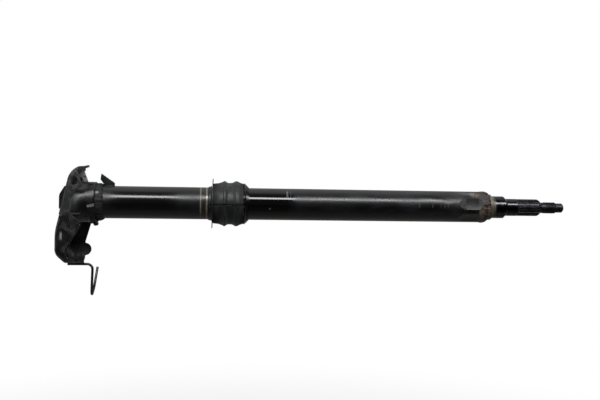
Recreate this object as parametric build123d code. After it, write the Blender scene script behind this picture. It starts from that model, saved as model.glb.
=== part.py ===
from build123d import *
from math import cos, radians, sin, sqrt, tan
import os

# Steering shaft of a small off-road vehicle. X runs along the shaft, from the handlebar
# bracket (-X) to the splined lower end (+X). Z is up and Y runs across. The origin is on
# the shaft axis, at the middle of the steering bush. Sizes are in millimetres.

# Shaft tube
tube_od = 38.0
tube_wall = 3.0
socket_reach = 153.5  # from the middle of the bush to the mouth of the bracket socket
lower_reach = 315.2  # from the middle of the bush to the lower mouth of the tube
tube_inset = 22.5  # length of tube inside the socket

# Six-sided crimp that locks the stub in the tube, measured back from the tube's mouth
crimp_flats = 35.4  # across flats, outside
crimp_turn = 11.0  # degrees that the near flat is turned upward
crimp_end = 10.0
crimp_length = 20.4
crimp_ramp_in = 7.0
crimp_ramp_out = 3.0

# Lower stub, from the tube's mouth outwards
plug_length = 46.0
plug_slip = 0.05
shoulder_d = 31.6
shoulder_length = 8.1
collar_d = 27.3
collar_length = 17.7
collar_chamfer = 1.4
collar_fillet = 2.0
seat_d = 21.3
seat_length = 15.7
spline_d = 21.0
spline_root_d = 18.8
spline_teeth = 18
spline_length = 27.3
spline_nose = 5.0
neck_d = 13.2
neck_length = 4.5
thread_d = 14.0
thread_length = 15.5
pilot_d = 11.6
pilot_length = 9.5
pilot_chamfer = 1.4
tube_weld_leg = 4.4

# Bracket socket: a drawn cup over the tube
sleeve_slip = 0.05
socket_od = 46.8
socket_flare_start = 13.5  # from the mouth to where the flare begins
socket_flare_radius = 17.5
socket_flare_angle = 39.0
socket_flare_over = 4.4  # reach of the flare beyond the wall's outer face
socket_flare_cap = 23.8  # half height where the flare is pressed flat
socket_step = 3.0  # ledge that the end of the tube stops on
socket_weld_length = 9.2
socket_weld_rise = 3.1

# Saddle plate under the socket
saddle_plate = 2.0
saddle_width = 9.0
saddle_drop = 1.5  # height of the saddle's upper edge below the axis
saddle_bevel_angle = 23.0  # how far the bevel on its upper edge faces up
saddle_bevel_slant = 0.31
saddle_bevel_drop = 5.7  # from the axis down to the bevel's lower edge

# Bracket stampings: x is measured from the socket's mouth, z from the shaft axis
sheet = 2.0
bracket_back = 43.7
bracket_top = 42.7
bracket_foot = 69.9
shoulder_x = 27.0
shoulder_z = 38.0
back_start_z = 34.2
corner_z = 59.8
foot_start_x = 32.4
foot_end_x = 17.3
foot_lip_x = 11.0
crown_radius = 21.0
back_radius = 60.0
corner_radius = 13.0
foot_radius = 4.0
upper_half_width = 27.0
upper_bend = 5.0
lower_bulge = 1.2  # how far the lower stamping stands wider on each side
lower_half_width = upper_half_width + lower_bulge
lower_bend = 10.0
seam_z = 14.8
seam_gap = 0.5
flap_gap = 0.7
tongue_tip_x = 10.0
tongue_width = 11.0
wall_hole_fillet = 1.3
ear_x = 17.9
ear_z = 57.0
ear_radius = 7.5

# Handlebar holder seat and bolts
seat_half_width = 21.0
seat_plate = 2.4
seat_low_z = 8.0
seat_high_z = 18.0
seat_nose = 10.0
seat_stand = 1.5  # height of the seat's face over the web at its lower edge
holder_hole_d = 8.6
holder_spacing = 32.0
holder_z = 47.5
nut_across = 13.0
nut_height = 6.5

# Round bars
brace_d = 3.0
guide_d = 2.9
guide_y = 14.0
guide_inset = 2.5  # from the start of the flat foot to the guide's end
guide_leg_x = 2.0
guide_leg_foot = 37.2
guide_lean = 0.9
guide_hook_rise = 7.0
guide_hook_step = 17.0
guide_free_step = 30.0
guide_free_rise = 31.0
guide_bend = 6.0
guide_hook_bend = 4.5
guide_sweep = 22.0
peg_d = 4.8
peg_length = 8.0
bead_r = 2.4
bead_length = 13.0

# Harness tab on the tube
tab_plate = 5.0
tab_tip_rise = 14.1
tab_heel_rise = 3.6
tab_start = 8.6
tab_foot_length = 11.0
tab_overhang = 5.0
tab_weld = 1.8

# Steering bush, in two halves, and its seals
bush_slip = 0.05
bush_left_length = 19.5
bush_right_length = 15.8
bush_end_r = 23.6
ridge_r = 27.0
left_ridge_x = -5.8
right_ridge_x = 8.0
valley_r = 24.8
valley_x = 0.6
valley_half = 1.9
bush_right_r = 24.2
ridge_nose = 1.2
split_gap = 0.6
split_z = -1.0
tongue_x = 5.4
tongue_length = 4.0
tongue_height = 2.2
washer_d = 59.0
washer_plate = 1.0
seal_d = 40.4
seal_length = 4.4
seal_lip_d = 49.2
seal_lip_length = 7.2
ring_groove = 1.6
ring_d = 1.4

# Places that follow from the sizes
tube_r = tube_od / 2
bore_r = tube_r - tube_wall
mouth_x = -socket_reach
collar_x = lower_reach + shoulder_length
seat_x = collar_x + collar_length
spline_x = seat_x + seat_length
neck_x = spline_x + spline_length + spline_nose
thread_x = neck_x + neck_length
pilot_x = thread_x + thread_length
tip_x = pilot_x + pilot_length
far = 200.0


def turned(*corners):
    """Solid turned about the shaft axis, from (x, radius) corners."""
    outline = make_face(Polyline(*corners, close=True))
    return revolve(outline, axis=Axis.X)


def ring(x_start, x_end, inner_r, outer_r):
    """Plain ring about the shaft axis."""
    return turned((x_start, inner_r), (x_end, inner_r), (x_end, outer_r), (x_start, outer_r))


def rod_x(x_start, x_end, radius):
    """Plain round bar on the shaft axis."""
    return turned((x_start, 0), (x_end, 0), (x_end, radius), (x_start, radius))


def side_profile(line):
    """Face of a closed outline drawn in the side view, x along and z up."""
    return Plane.XZ * make_face(line)


def side_plate(line, y_low, y_high):
    """Plate cut to a side-view outline, between two distances across."""
    face = Pos(0, y_high, 0) * side_profile(line)
    return extrude(face, amount=y_high - y_low, dir=(0, -1, 0))


def corners_line(corners):
    """Closed outline through plain corners."""
    return Polyline(*corners, close=True)


def one_solid(shape):
    """The largest solid of a cut shape."""
    return Part() + max(shape.solids(), key=lambda solid: solid.volume)


def crimped_bar(radius, half_flats, x_start, x_end):
    """Round bar with the six flats of the crimp pressed into it."""
    bar = rod_x(x_start, x_end, radius)
    flat_end = lower_reach - crimp_end
    flat_start = flat_end - crimp_length
    depth = tube_r - crimp_flats / 2
    reach = radius + depth + crimp_ramp_in
    run_in = crimp_ramp_in / depth * (reach - half_flats)
    run_out = crimp_ramp_out / depth * (reach - half_flats)
    wedge_line = Polyline(
        (flat_start - run_in, reach),
        (flat_start, half_flats),
        (flat_end, half_flats),
        (flat_end + run_out, reach),
        close=True,
    )
    wedge = side_plate(wedge_line, -radius - 1, radius + 1)
    for turn in range(6):
        bar -= Rot(90 - crimp_turn + 60 * turn, 0, 0) * wedge
    return bar


def main_tube():
    """Shaft tube with its crimp."""
    half_flats = crimp_flats / 2
    outside = crimped_bar(tube_r, half_flats, mouth_x - tube_inset, lower_reach)
    inside = crimped_bar(bore_r, half_flats - tube_wall, mouth_x - tube_inset, lower_reach)
    return outside - inside


def spline_profile():
    """Cross-section of the spline: a root circle with straight-flanked teeth."""
    root_r = spline_root_d / 2
    tip_r = spline_d / 2
    pitch = 2 * 3.14159265 * root_r / spline_teeth
    foot = 0.34 * pitch
    top = 0.22 * pitch
    section = Circle(root_r)
    for index in range(spline_teeth):
        tooth = make_face(
            Polyline(
                (root_r - 0.5, -foot),
                (tip_r, -top),
                (tip_r, top),
                (root_r - 0.5, foot),
                close=True,
            )
        )
        section += Rot(0, 0, index * 360 / spline_teeth) * tooth
    return section


def lower_stub():
    """Lower stub, turned from one bar: plug, collar, seat, spline, thread and pilot."""
    plug_r = bore_r - plug_slip
    plug = crimped_bar(
        plug_r, crimp_flats / 2 - tube_wall - plug_slip, lower_reach - plug_length, lower_reach
    )
    shoulder_r = shoulder_d / 2
    collar_r = collar_d / 2
    seat_r = seat_d / 2
    body = turned(
        (lower_reach, 0),
        (lower_reach, shoulder_r),
        (collar_x - 0.6, shoulder_r),
        (collar_x, shoulder_r - 0.6),
        (collar_x, collar_r),
        (seat_x - collar_chamfer, collar_r),
        (seat_x, collar_r - collar_chamfer),
        (seat_x + collar_fillet, seat_r),
        (spline_x, seat_r),
        (spline_x + 0.8, spline_root_d / 2),
        (spline_x + 0.8, 0),
    )
    teeth = Pos(spline_x, 0, 0) * extrude(Plane.YZ * spline_profile(), amount=spline_length + spline_nose)
    nose = turned(
        (spline_x, 0),
        (spline_x, seat_r),
        (spline_x + spline_length, spline_d / 2),
        (spline_x + spline_length + 0.45 * spline_nose, spline_d / 2 - 0.22 * spline_nose),
        (neck_x, neck_d / 2),
        (neck_x, 0),
    )
    end = turned(
        (neck_x, 0),
        (neck_x, neck_d / 2),
        (thread_x - 0.5, neck_d / 2),
        (thread_x, thread_d / 2),
        (pilot_x - 1.2, thread_d / 2),
        (pilot_x, pilot_d / 2),
        (tip_x - pilot_chamfer, pilot_d / 2),
        (tip_x, pilot_d / 2 - pilot_chamfer),
        (tip_x, 0),
    )
    return plug + body + (teeth & nose) + end


def stub_weld():
    """Weld bead between the tube's mouth and the stub's shoulder."""
    shoulder_r = shoulder_d / 2
    return turned(
        (lower_reach, shoulder_r),
        (lower_reach, tube_r),
        (lower_reach + 0.12 * tube_weld_leg, tube_r + 0.1),
        (lower_reach + 0.55 * tube_weld_leg, tube_r - 0.9),
        (lower_reach + 0.85 * tube_weld_leg, shoulder_r + 0.9),
        (lower_reach + tube_weld_leg, shoulder_r),
    )


def bracket_line():
    """Outer line of the bracket in the side view, from the tongue round to the foot."""
    return FilletPolyline(
        (-tongue_tip_x, bracket_top),
        (-shoulder_x, shoulder_z),
        (-bracket_back, -back_start_z),
        (-bracket_back, -corner_z),
        (-foot_start_x, -bracket_foot),
        (-foot_lip_x, -bracket_foot),
        radius=[crown_radius, back_radius, corner_radius, foot_radius],
    )


def bracket_tray(half_width, bend):
    """Pressed tray: the web follows the bracket's line, with a wall on each side."""
    line = bracket_line()
    start = line @ 0
    end = line @ 1
    open_x = 30.0
    closing = Polyline(
        (end.X, end.Y), (open_x, end.Y), (open_x, start.Y), (start.X, start.Y)
    )
    face = make_face(Curve() + [line, closing])
    inner_face = offset(face, amount=-sheet, kind=Kind.INTERSECTION)
    inner_face += Pos(open_x, (start.Y + end.Y) / 2) * Rectangle(
        4 * sheet, start.Y - end.Y - 2 * sheet
    )
    outer = extrude(Plane.XZ * face, amount=half_width, both=True)
    inner = extrude(Plane.XZ * inner_face, amount=half_width - sheet, both=True)
    outer = fillet(web_edges(outer, half_width), bend)
    inner = fillet(web_edges(inner, half_width - sheet), bend - sheet)
    return Pos(mouth_x, 0, 0) * (outer - inner)


def web_edges(block, half_width):
    """Long edges of the block where the web turns into the side walls."""
    sides = [edge for edge in block.edges() if abs(abs(edge.center().Y) - half_width) < 0.01]
    return [edge for edge in sides if edge.bounding_box().min.X < -tongue_tip_x - sheet]


def at_mouth(corners):
    """Side-view corners moved from the socket's mouth to their place on the shaft."""
    return [(mouth_x + x, z) for x, z in corners]


def flap_corners():
    """Pointed flap of the upper stamping's near wall, below the seam."""
    return at_mouth(
        [
            (-28.6, -seam_z + 2),
            (-28.6, -seam_z),
            (-24.7, -31.0),
            (-14.6, -23.4),
            (-14.6, -22.0),
            (-24.0, -seam_z),
            (-26.0, -seam_z + 2),
        ]
    )


def flap_notch():
    """Notch of the lower stamping's near wall that the flap hangs in."""
    gap = flap_gap
    return at_mouth(
        [
            (-28.6 - gap, -seam_z + 2),
            (-28.6 - gap, -seam_z - gap),
            (-24.7, -31.0 - 1.9 * gap),
            (-14.6, -23.4 - 1.3 * gap),
            (0, -23.4 - 1.3 * gap),
            (0, -seam_z + 2),
        ]
    )


def wall_hole():
    """Three-cornered lightening hole through the upper stamping's near wall."""
    corners = at_mouth([(-22.0, 32.6), (-15.9, 20.6), (-24.8, 18.0)])
    line = FilletPolyline(*corners, radius=wall_hole_fillet, close=True)
    return side_plate(line, -2 * upper_half_width, 0)


def upper_bracket():
    """Upper bracket stamping: web, side walls, tongue and the pointed flap."""
    tray = bracket_tray(upper_half_width, upper_bend)
    seam = -seam_z + seam_gap / 2
    tip = -tongue_tip_x
    keep_line = corners_line(at_mouth([(-60, seam), (tip, seam), (tip, 60), (-60, 60)]))
    keep = side_plate(keep_line, -far, far)
    flap = side_plate(corners_line(flap_corners()), -far, -upper_half_width / 2)
    tray = tray & (keep + flap)
    open_line = corners_line(
        at_mouth(
            [
                (-19.4, 36.8),
                (-17.6, 31.5),
                (-15.2, 25.0),
                (-13.6, 21.0),
                (-14.3, 17.5),
                (-19.0, 13.5),
                (-24.0, 6.5),
                (-26.6, -1.5),
                (-27.0, -9.0),
                (-24.0, -seam_z),
                (30, -seam_z),
                (30, 36.8),
            ]
        )
    )
    tray -= side_plate(open_line, -far, far)
    tray -= wall_hole()
    return one_solid(tray - tongue_sides())


def tongue_sides():
    """Waste on both sides of the tongue at the top of the web."""
    side = Polyline(
        (mouth_x - 18.0, far),
        (mouth_x - 18.0, upper_half_width - 3),
        (mouth_x - 14.5, tongue_width / 2 + 1.5),
        (mouth_x - 12.5, tongue_width / 2),
        (mouth_x - tongue_tip_x, tongue_width / 2 - 1),
        (mouth_x, tongue_width / 2 - 1),
        (mouth_x, far),
        close=True,
    )
    waste = Pos(0, 0, 34.0) * extrude(make_face(side), amount=20)
    return waste + mirror(waste, about=Plane.XZ)


def ear_place():
    """Middle of the ear on the far side wall, in the side view."""
    return mouth_x - ear_x, -ear_z


def lower_bracket():
    """Lower bracket stamping: bulged web, cut-out near wall and far wall with an ear."""
    tray = bracket_tray(lower_half_width, lower_bend)
    seam = -seam_z - seam_gap / 2
    low_line = corners_line(at_mouth([(-60, seam), (30, seam), (30, -90), (-60, -90)]))
    tray = tray & side_plate(low_line, -far, far)
    tray -= side_plate(corners_line(flap_notch()), -far, -lower_half_width / 2)
    near_line = corners_line(
        at_mouth(
            [
                (-13.2, -10),
                (-13.2, -23.9),
                (-30.9, -53.0),
                (-30.6, -58.5),
                (-28.6, -62.6),
                (-23.6, -66.2),
                (-17.4, -bracket_foot + sheet),
                (40, -bracket_foot + sheet),
                (40, -10),
            ]
        )
    )
    far_line = corners_line(
        at_mouth(
            [
                (-11.3, -10),
                (-11.3, -26.4),
                (-foot_end_x, -47.6),
                (-foot_end_x, -bracket_foot + sheet),
                (40, -bracket_foot + sheet),
                (40, -10),
            ]
        )
    )
    x, z = ear_place()
    ear = Pos(x, lower_half_width, z) * Rot(90, 0, 0) * Cylinder(
        ear_radius, sheet, align=(Align.CENTER, Align.CENTER, Align.MIN)
    )
    tray -= side_plate(near_line, -far, 0)
    tray -= side_plate(far_line, 0, far)
    tray -= foot_waste()
    tray = tray + ear
    tray -= holder_holes()
    return one_solid(tray - brace_rod())


def foot_waste():
    """Waste beyond the slanting end of the foot."""
    end = Polyline(
        (mouth_x - foot_lip_x, -0.6 * lower_half_width),
        (mouth_x - foot_end_x, 0.6 * lower_half_width),
        (mouth_x - foot_end_x, far),
        (mouth_x + 40, far),
        (mouth_x + 40, -far),
        (mouth_x - foot_lip_x, -far),
        close=True,
    )
    return Pos(0, 0, -bracket_foot - 1) * extrude(make_face(end), amount=sheet + 2)


def holder_places():
    """Distances across of the two holder bolts."""
    return -holder_spacing / 2, holder_spacing / 2


def holder_holes():
    """Bolt holes in the lower web."""
    holes = Part()
    for y in holder_places():
        holes += Pos(mouth_x - bracket_back, y, -holder_z) * Rot(0, 90, 0) * Cylinder(
            holder_hole_d / 2, 8 * sheet
        )
    return holes


def hex_nut(across, height, hole_d):
    """Plain weld nut standing on the XY plane."""
    body = extrude(RegularPolygon(across / sqrt(3), 6), amount=height)
    return body - Cylinder(hole_d / 2, 3 * height)


def holder_nuts(lower):
    """Weld nuts behind the two holder bolt holes."""
    nuts = Part()
    for y in holder_places():
        nuts += Pos(mouth_x - bracket_back + sheet, y, -holder_z) * Rot(0, 90, 0) * hex_nut(
            nut_across, nut_height, holder_hole_d
        )
    return nuts - lower


def web_line_x(z):
    """Place of the bracket's outer line at a height above the axis."""
    slope = (bracket_back - shoulder_x) / (shoulder_z + back_start_z)
    return mouth_x - shoulder_x - slope * (shoulder_z - z)


def seat_face_x():
    """Place of the flat face that the handlebar holder sits on."""
    return web_line_x(-seat_low_z) - seat_stand


def seat_outline(x_face, x_back_gap):
    """Side-view outline of a layer of the seat, between a flat face and the web."""
    low = web_line_x(-seat_low_z) - x_back_gap
    high = web_line_x(seat_high_z) - x_back_gap
    return FilletPolyline(
        (x_face, -seat_low_z),
        (x_face, seat_high_z - seat_nose),
        (high - 1.5, seat_high_z),
        (high, seat_high_z),
        (low, -seat_low_z),
        radius=[0, seat_nose, 0.8, 0, 0],
        close=True,
    )


def handlebar_seat():
    """Flat seat plate for the handlebar holder, on its packing."""
    plate = side_plate(seat_outline(seat_face_x(), 0), -seat_half_width, seat_half_width)
    return plate - seat_packing()


def seat_packing():
    """Wedge-shaped packing between the seat plate and the sloping web."""
    back_high = web_line_x(seat_high_z - seat_nose)
    back_low = web_line_x(-seat_low_z + 2 * seat_plate)
    face = seat_face_x() + seat_plate
    line = corners_line(
        [
            (min(face, back_low), -seat_low_z + 2 * seat_plate),
            (face, seat_high_z - seat_nose),
            (back_high, seat_high_z - seat_nose),
            (back_low, -seat_low_z + 2 * seat_plate),
        ]
    )
    return side_plate(line, -seat_half_width, seat_half_width)


def socket_line():
    """Half section of the cup: a straight sleeve that opens in a round flare."""
    socket_r = socket_od / 2
    back = mouth_x - bracket_back - 2
    flare_r = upper_half_width + socket_flare_over
    bend_x = mouth_x - socket_flare_start - socket_flare_radius * tan(radians(socket_flare_angle / 2))
    flare_x = bend_x - (flare_r - socket_r) / tan(radians(socket_flare_angle))
    flare = FilletPolyline(
        (flare_x, flare_r), (bend_x, socket_r), (mouth_x - 1.0, socket_r), radius=socket_flare_radius
    )
    closing = Polyline(
        (mouth_x - 1.0, socket_r),
        (mouth_x, socket_r - 1.0),
        (mouth_x, 0),
        (back, 0),
        (back, flare_r),
        (flare_x, flare_r),
    )
    return Curve() + [flare, closing]


def bracket_socket(upper, lower):
    """Drawn cup over the tube, flared where it runs into the stampings."""
    cup = revolve(make_face(socket_line()), axis=Axis.X)
    socket_r = socket_od / 2
    cap = Box(4 * socket_r, 2 * (upper_half_width - 0.2), 2 * socket_flare_cap)
    cup = cup & (Pos(mouth_x - bracket_back / 2, 0, 0) * cap)
    cup = cup & inside_tray()
    bore = ring(mouth_x - tube_inset, mouth_x + 1, 0, tube_r + sleeve_slip)
    ledge = rod_x(mouth_x - tube_inset - socket_step - 4, mouth_x, tube_r - socket_step)
    return one_solid(cup - bore - ledge - upper - lower)


def inside_tray():
    """Space on the inner side of the web, out to past the socket's mouth."""
    line = bracket_line()
    start = line @ 0
    end = line @ 1
    closing = Polyline((end.X, end.Y), (end.X + 60, end.Y), (end.X + 60, start.Y), (start.X, start.Y))
    face = make_face(Curve() + [line, closing])
    inner_face = offset(face, amount=-sheet, kind=Kind.INTERSECTION)
    return Pos(mouth_x, 0, 0) * extrude(Plane.XZ * inner_face, amount=far, both=True)


def socket_weld():
    """Weld bead round the tube at the socket's mouth."""
    length = socket_weld_length
    rise = socket_weld_rise
    return turned(
        (mouth_x, tube_r),
        (mouth_x, tube_r + rise),
        (mouth_x + 0.3 * length, tube_r + 0.92 * rise),
        (mouth_x + 0.6 * length, tube_r + 0.62 * rise),
        (mouth_x + 0.85 * length, tube_r + 0.25 * rise),
        (mouth_x + length, tube_r),
    )


def saddle():
    """Bent plate that cradles the lower half of the socket."""
    inner_r = socket_od / 2
    strap = ring(mouth_x - saddle_width, mouth_x, inner_r, inner_r + saddle_plate)
    top = Pos(mouth_x, 0, far / 2 - saddle_drop) * Box(far, far, far)
    strap -= top
    rake_line = corners_line(
        [
            (mouth_x - saddle_width - 1, 0),
            (mouth_x - saddle_width + 0.2, -saddle_drop),
            (mouth_x - saddle_width + 4.2, -0.75 * inner_r),
            (mouth_x - saddle_width + 2.0, -inner_r - 2 * saddle_plate),
            (mouth_x - saddle_width - 1, -inner_r - 2 * saddle_plate),
        ]
    )
    for side in (-1, 1):
        strap -= saddle_bevel(side)
    return strap - side_plate(rake_line, -far, far)


def saddle_bevel(side):
    """Waste in front of the slanting bevel on the saddle's upper edge, on one side."""
    lean = radians(saddle_bevel_angle)
    outer_r = socket_od / 2 + saddle_plate
    edge_y = (outer_r ** 2 - saddle_bevel_drop ** 2) ** 0.5
    face = Plane(
        origin=(mouth_x - saddle_width / 2, side * edge_y, -saddle_bevel_drop),
        z_dir=(-saddle_bevel_slant * sin(lean), side * cos(lean), sin(lean)),
    )
    return face * Box(far, far, far, align=(Align.CENTER, Align.CENTER, Align.MIN))


def side_bead(side, neighbours):
    """Weld bead between the socket and one side wall."""
    start = mouth_x - 28.0
    y = side * (upper_half_width - bead_r)
    bead = Pos(start, y, -seam_z + 0.8) * Rot(0, 90, 0) * Cylinder(
        bead_r, bead_length, align=(Align.CENTER, Align.CENTER, Align.MIN)
    )
    for neighbour in neighbours:
        bead -= neighbour
    return one_solid(bead)


def brace_rod():
    """Round bar along the sloping edge of the near wall's cut-out."""
    y = -lower_half_width + sheet / 2
    start = Vector(mouth_x - 14.6, y, -26.2)
    end = Vector(mouth_x - 30.6, y, -52.4)
    path = Line(start, end)
    return sweep(Plane(origin=start, z_dir=end - start) * Circle(brace_d / 2), path=path)


def guide_route():
    """Middle line of the cable guide, from under the foot to the free end of the hook."""
    bar_z = -bracket_foot - guide_d / 2
    leg_x = mouth_x - guide_leg_x
    leg_z = bar_z - guide_leg_foot
    return [
        (mouth_x - foot_start_x + guide_inset, -guide_y, bar_z),
        (leg_x, -guide_y, bar_z),
        (leg_x - guide_lean, -guide_y, leg_z),
        (leg_x - guide_lean, -guide_y + guide_hook_step, leg_z + guide_hook_rise),
        (leg_x + guide_lean, -guide_y + guide_free_step, leg_z + guide_free_rise),
    ]


def cable_guide():
    """Wire hook that holds the cables below the bracket."""
    route = guide_route()
    path = FilletPolyline(*route, radius=[guide_bend, guide_hook_bend, guide_sweep])
    start = Plane(origin=route[0], z_dir=(1, 0, 0))
    return sweep(start * Circle(guide_d / 2), path=path)


def guide_welds():
    """Short beads on both sides of the guide under the foot."""
    welds = Part()
    bar_z = -bracket_foot - guide_d / 2
    for side in (-1, 1):
        bead = Pos(mouth_x - foot_start_x + 8, -guide_y + side * guide_d / 2, -bracket_foot) * Rot(
            0, 90, 0
        ) * Cylinder(0.42 * guide_d, 9.0)
        welds += bead
    below = Pos(0, 0, -bracket_foot - far / 2) * Box(4 * far, far, far)
    bar = Pos(mouth_x - foot_start_x, -guide_y, bar_z) * Rot(0, 90, 0) * Cylinder(guide_d / 2, far)
    return (welds & below) - bar


def peg(neighbours):
    """Short peg welded under the edge of the saddle."""
    z = -(socket_od / 2 + saddle_plate - 0.2)
    bar = Pos(mouth_x - 0.3, -1 - peg_length / 2, z) * Rot(90, 0, 0) * Cylinder(peg_d / 2, peg_length)
    for neighbour in neighbours:
        bar -= neighbour
    return one_solid(bar)


def harness_tab():
    """Wedge-shaped tab on top of the tube that keeps the harness by the socket."""
    start = mouth_x + tab_start
    end = start + tab_foot_length
    line = corners_line(
        [
            (start, tube_r - 1.5),
            (start, tube_r + 0.8),
            (start - tab_overhang, tube_r + 0.52 * tab_tip_rise),
            (start - 0.8 * tab_overhang, tube_r + tab_tip_rise),
            (end, tube_r + tab_heel_rise),
            (end, tube_r - 1.5),
        ]
    )
    plate = side_plate(line, -tab_plate / 2, tab_plate / 2)
    return plate - rod_x(mouth_x, end + 5, tube_r) - socket_weld()


def tab_welds():
    """Small beads along both sides of the tab's foot."""
    start = mouth_x + tab_start + 1.2
    length = tab_foot_length - 2.0
    welds = Part()
    for side in (-1, 1):
        welds += Pos(start, side * tab_plate / 2, tube_r) * Rot(0, 90, 0) * Cylinder(
            tab_weld, length, align=(Align.CENTER, Align.CENTER, Align.MIN)
        )
    return welds - rod_x(mouth_x, start + far, tube_r) - harness_tab() - socket_weld()


def bush_body():
    """Both halves of the bush before the split: two ridges with a valley between."""
    inner_r = tube_r + bush_slip
    return turned(
        (-bush_left_length, inner_r),
        (-bush_left_length, bush_end_r),
        (left_ridge_x - 7.0, bush_end_r + 0.7),
        (left_ridge_x - 2.0, ridge_r - 1.0),
        (left_ridge_x - 0.5 * ridge_nose, ridge_r),
        (left_ridge_x + 0.5 * ridge_nose, ridge_r),
        (valley_x - valley_half - 1.2, valley_r + 0.4),
        (valley_x - valley_half, valley_r),
        (valley_x + valley_half, valley_r),
        (valley_x + valley_half + 1.6, valley_r + 0.4),
        (right_ridge_x - 0.5 * ridge_nose, ridge_r),
        (right_ridge_x + 0.5 * ridge_nose, ridge_r),
        (right_ridge_x + 2.4, ridge_r - 0.6),
        (bush_right_length - 3.0, bush_right_r + 0.9),
        (bush_right_length, bush_right_r),
        (bush_right_length, inner_r),
    )


def bush_split(grow):
    """Upper space of the split, with the small tongue that locks the halves."""
    top = Pos(0, 0, split_z + grow + far / 2) * Box(far, far, far)
    tongue = Pos(tongue_x, 0, split_z - tongue_height / 2 + grow) * Box(
        tongue_length - 2 * grow, far, tongue_height
    )
    return top + tongue


def upper_bush_half():
    """Upper half of the steering bush."""
    return one_solid(bush_body() & bush_split(split_gap / 2))


def lower_bush_half():
    """Lower half of the steering bush."""
    return one_solid(bush_body() - bush_split(-split_gap / 2))


def seal_washer():
    """Thin washer between the bush and the upper seal."""
    x_end = -bush_left_length
    return ring(x_end - washer_plate, x_end, tube_r + bush_slip, washer_d / 2)


def upper_seal():
    """Dust seal at the bracket end of the bush."""
    end = -bush_left_length - washer_plate
    start = end - seal_length
    inner_r = tube_r + bush_slip
    outer_r = seal_d / 2
    return turned(
        (start, inner_r),
        (start, outer_r - 0.6),
        (start + 0.5, outer_r - 0.3),
        (end - 1.5, outer_r),
        (end, outer_r + 1.2),
        (end, inner_r),
    )


def lower_seal():
    """Dust seal at the lower end of the bush, with a flared lip and a ring groove."""
    start = bush_right_length
    inner_r = tube_r + bush_slip
    lip_r = seal_lip_d / 2
    seal = turned(
        (start, inner_r),
        (start, lip_r - 1.8),
        (start + ring_groove, lip_r - 1.8),
        (start + ring_groove, lip_r - 0.5),
        (start + ring_groove + 0.6, lip_r),
        (start + 0.5 * seal_lip_length, lip_r - 1.4),
        (start + 0.8 * seal_lip_length, inner_r + 1.9),
        (start + seal_lip_length, inner_r + 0.4),
        (start + seal_lip_length, inner_r),
    )
    return seal


def clip_ring():
    """Round wire ring in the groove of the lower seal."""
    groove_r = seal_lip_d / 2 - 1.8
    section = Pos(bush_right_length + ring_groove / 2, groove_r + ring_d / 2) * Circle(ring_d / 2)
    return revolve(section, axis=Axis.X)


def build():
    """Every piece of the steering shaft, by name."""
    upper = upper_bracket()
    lower = lower_bracket()
    socket = bracket_socket(upper, lower)
    weld = socket_weld()
    cradle = saddle() - upper - lower - socket
    near_bead = side_bead(-1, [upper, lower, socket, cradle])
    far_bead = side_bead(1, [upper, lower, socket, cradle])
    return {
        "main_tube": main_tube(),
        "lower_stub": lower_stub(),
        "stub_weld": stub_weld(),
        "bracket_socket": socket,
        "socket_weld": weld,
        "upper_bracket": upper,
        "lower_bracket": lower,
        "socket_saddle": cradle,
        "near_bracket_weld": near_bead,
        "far_bracket_weld": far_bead,
        "handlebar_seat": handlebar_seat(),
        "seat_packing": seat_packing(),
        "holder_nuts": holder_nuts(lower),
        "brace_rod": brace_rod(),
        "cable_guide": cable_guide(),
        "cable_guide_welds": guide_welds(),
        "saddle_peg": peg([cradle, weld, socket]),
        "harness_tab": harness_tab(),
        "harness_tab_welds": tab_welds(),
        "upper_bush_half": upper_bush_half(),
        "lower_bush_half": lower_bush_half(),
        "seal_washer": seal_washer(),
        "upper_seal": upper_seal(),
        "lower_seal": lower_seal(),
        "seal_clip_ring": clip_ring(),
    }


os.makedirs("parts", exist_ok=True)
for node, piece in build().items():
    export_step(piece, f"parts/{node}.step")
    print(node, len(piece.solids()), round(piece.volume))
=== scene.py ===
# %% [markdown]
# # A used steering shaft
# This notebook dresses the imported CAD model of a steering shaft: a painted steel tube with a pressed
# handlebar bracket at one end, a split rubber bush round its middle, and a splined and threaded stub at
# the other end. The frame comes first. It gives every CAD node in metres, already in place, so each
# finish or finer piece below only has to say which node it belongs to.

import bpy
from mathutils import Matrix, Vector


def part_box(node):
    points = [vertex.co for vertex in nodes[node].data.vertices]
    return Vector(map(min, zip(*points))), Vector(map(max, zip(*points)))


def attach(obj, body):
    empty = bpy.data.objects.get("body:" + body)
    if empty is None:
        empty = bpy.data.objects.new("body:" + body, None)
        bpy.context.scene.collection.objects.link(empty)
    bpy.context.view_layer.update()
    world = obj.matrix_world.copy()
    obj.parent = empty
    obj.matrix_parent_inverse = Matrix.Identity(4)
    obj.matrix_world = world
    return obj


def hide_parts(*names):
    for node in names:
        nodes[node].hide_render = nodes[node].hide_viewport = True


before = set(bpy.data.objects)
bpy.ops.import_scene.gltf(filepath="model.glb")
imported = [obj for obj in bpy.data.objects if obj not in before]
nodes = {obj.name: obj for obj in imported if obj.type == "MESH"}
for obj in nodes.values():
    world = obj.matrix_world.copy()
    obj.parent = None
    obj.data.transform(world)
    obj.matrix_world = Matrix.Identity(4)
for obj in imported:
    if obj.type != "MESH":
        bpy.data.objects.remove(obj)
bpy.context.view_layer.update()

from functools import partial
from math import cos, floor, pi, radians, sin, tan

import bpy
from mathutils import Matrix, Vector

# %% [markdown]
# ## Three helpers for everything
# A colour is written as the hex code that a colour picker shows, and a shader wants it linear, so one
# function turns it. Another adds one node to any tree, for shaders and for geometry alike: it applies
# the settings, then fills each input with a value, a socket, or a whole node, whose first live output
# is linked. With it no kind of node needs a function of its own. The third puts a mesh, a lamp or the
# camera into the scene.

# %% Colour and node helpers
MM = 0.001


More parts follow.
